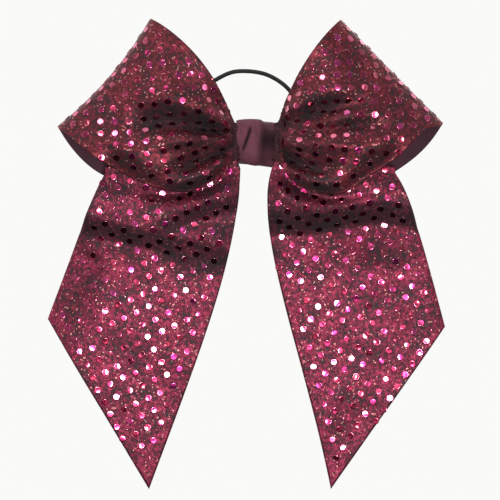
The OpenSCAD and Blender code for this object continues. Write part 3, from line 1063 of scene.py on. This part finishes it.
def closed_band(name, material):
    """The plain ribbon wrapped round the knot: rolled wavy edges and pleats pressed into its front, with
    painted shade in its front's hollow and pleats.
    """
    count, rows = 150, 40
    outline, ways, run = ring_outline(BAND_FRONT_Y + BAND_T / 2, BAND_BACK_Y - BAND_T / 2,
                                      KNOT_H - BAND_T, KNOT_R - BAND_T / 2, count)
    across = np.linspace(-1, 1, rows)[None]
    y, z = outline[:, :1], outline[:, 1:]
    ahead = smooth(-12, -18, y)
    wobble = 0.25 * np.sin(run * 0.55)[:, None] + 0.18 * np.sin(run * 1.31 + 1.0)[:, None]
    x = across * (BAND_W / 2 - 0.15 + wobble * np.abs(across) - 1.8 * ahead * smooth(2, -11, z))
    loose = smooth(-4.5, -9, y)
    sag = loose * (smooth(0, -10, z) * (0.35 - 0.14 * x) - smooth(0, 10, z) * (0.25 + 0.06 * x))
    lift = ahead * (1.3 * (1 - across**2) - 0.5 * across**4)
    side = 1.8 + 0.1 * z
    lift = lift - BAND_HOLLOW * ahead * smooth(side - 1.4, side + 4.4, x)
    # Painted shade: pressed darkens the hollow on the band's right, most at mid height, and along the pleats.
    painted_shade_by_height = 0.35 + 0.65 * np.exp(-(((z - 1.5) / 7.0) ** 2))
    pressed = ahead * smooth(side - 2.6, side + 2.4, x) * painted_shade_by_height
    for crease in BAND_CREASES:
        dent = ahead * fold(x, z, *crease)
        lift = lift - dent
        pressed = np.maximum(pressed, smooth(0.3, 1.5, dent))
    centre = np.stack([x, y + ways[:, :1] * lift, z + sag + ways[:, 1:] * lift], -1)
    normals = np.broadcast_to(np.concatenate([np.zeros((count, 1)), ways], 1)[:, None], centre.shape)
    thick = BAND_T / 2 * np.sqrt(np.maximum(0.08, 1 - np.abs(across[0]) ** 10))
    over = centre + normals * thick[None, :, None]
    under = centre - normals * thick[None, :, None]
    points = np.concatenate([over, under[:, ::-1]], 1).reshape(-1, 3)
    faces = ring_faces(count, 2 * rows, closed=True)
    spread = np.concatenate([x, x[:, ::-1]], 1)
    uv = np.stack([np.broadcast_to(run[:, None], spread.shape), spread], -1).reshape(-1, 2)
    dark = np.concatenate([pressed, pressed[:, ::-1]], 1).ravel()
    return make_object(name, points, faces, material, uv=uv, fields={"shade": dark}), float(run[-1])


band, band_round = closed_band("wrapped_band", PLAIN)
stand_for(band, "knot_band", "knot")


def pad_piece(name, size, y0, y1, material, seed):
    """A flat cut piece with rounded edges: a rectangle whose corners a circle trims, between two depths."""
    width, height, clip = size
    count = 96
    angle = np.linspace(0, 2 * math.pi, count, endpoint=False)
    reach = np.minimum(width / 2 / np.maximum(np.abs(np.cos(angle)), 1e-6),
                       height / 2 / np.maximum(np.abs(np.sin(angle)), 1e-6))
    reach = np.minimum(reach, clip)
    thick = y1 - y0
    rings = [(0.0, 0.0), (0.35, 0.0), (0.7, 0.0), (0.93, 0.0), (0.985, 0.12), (1.0, 0.5),
             (0.985, 0.88), (0.93, 1.0), (0.7, 1.0), (0.35, 1.0), (0.0, 1.0)]
    rng = np.random.default_rng(seed)
    fray = 1 + 0.006 * rng.normal(size=count)
    points = [(0, y0, 0)]
    for share, depth in rings[1:-1]:
        for k in range(count):
            r = reach[k] * share * (fray[k] if share > 0.9 else 1)
            points.append((r * math.cos(angle[k]), y0 + depth * thick, r * math.sin(angle[k])))
    points.append((0, y1, 0))
    faces = [(0, 1 + k, 1 + (k + 1) % count) for k in range(count)]
    faces += ring_faces(len(rings) - 2, count, start=1)
    a, last = 1 + (len(rings) - 3) * count, len(points) - 1
    faces += [(a + k, last, a + (k + 1) % count) for k in range(count)]
    uv = [(p[2], p[0]) for p in points]
    return make_object(name, points, faces, material, uv=uv)


pad = pad_piece("felt_pad", PAD_SIZE, -PAD_T, 0, FELT, seed=3)
stand_for(pad, "back_pad", "knot")
lap = pad_piece("glued_lap", LAP_SIZE, BAND_BACK_Y, -PAD_T, PLAIN, seed=4)
lap.data.transform(Matrix.Translation((0, 0, -LAP_DROP * MM)))
stand_for(lap, "band_lap", "knot")


def pleated_bundle(name, material):
    """The ribbon layers squeezed together inside the band, with their pleats showing at both ends."""
    count, rows = 180, 25
    outline, ways, run = ring_outline(BUNDLE_FRONT_Y, BUNDLE_BACK_Y, BUNDLE_H, BUNDLE_R, count)
    x = np.linspace(-BUNDLE_W / 2, BUNDLE_W / 2, rows)
    points = []
    for row in range(rows):
        waist = 1.25 * math.exp(-((x[row] / 1.7) ** 2))
        pleat = 0.45 * np.sin(run * 2.4 + 0.12 * x[row]) - 0.45
        ring = outline + ways * (pleat - waist)[:, None]
        points += [(x[row], p[0], p[1]) for p in ring]
    faces = [tuple(range(count))[::-1], tuple(range((rows - 1) * count, rows * count))]
    faces += flipped(ring_faces(rows, count))
    uv = [(p[0], run[k % count]) for k, p in enumerate(points)]
    return make_object(name, points, faces, material, uv=uv)


bundle = pleated_bundle("pleated_bundle", LOOP_CLOTH)
stand_for(bundle, "gathered_centre", "knot")

for node in ("cinch_strap", "cinch_head"):
    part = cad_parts[node]
    part.data.materials.clear()
    part.data.materials.append(NYLON)


# --- floor ---

FLOOR_R = 700
FLOOR_Z = -300


def add_floor():
    stops = [(0.3, (0.90, 0.90, 0.885)), (0.7, (0.93, 0.93, 0.915))]
    material, tree, shader = new_material("floor_paper")
    colour = ramp_colour(tree, noise(tree, "Object", 300, 3), stops)
    tree.links.new(colour, shader.inputs["Base Color"])
    shader.inputs["Roughness"].default_value = 0.9
    angle = np.linspace(0, 2 * math.pi, 96, endpoint=False)
    points = [(FLOOR_R * math.cos(a), FLOOR_R * math.sin(a), FLOOR_Z) for a in angle]
    floor = make_object("floor", points, [tuple(range(len(points)))], material, rounded=False)
    floor.visible_glossy = False
    floor.visible_diffuse = False


add_floor()
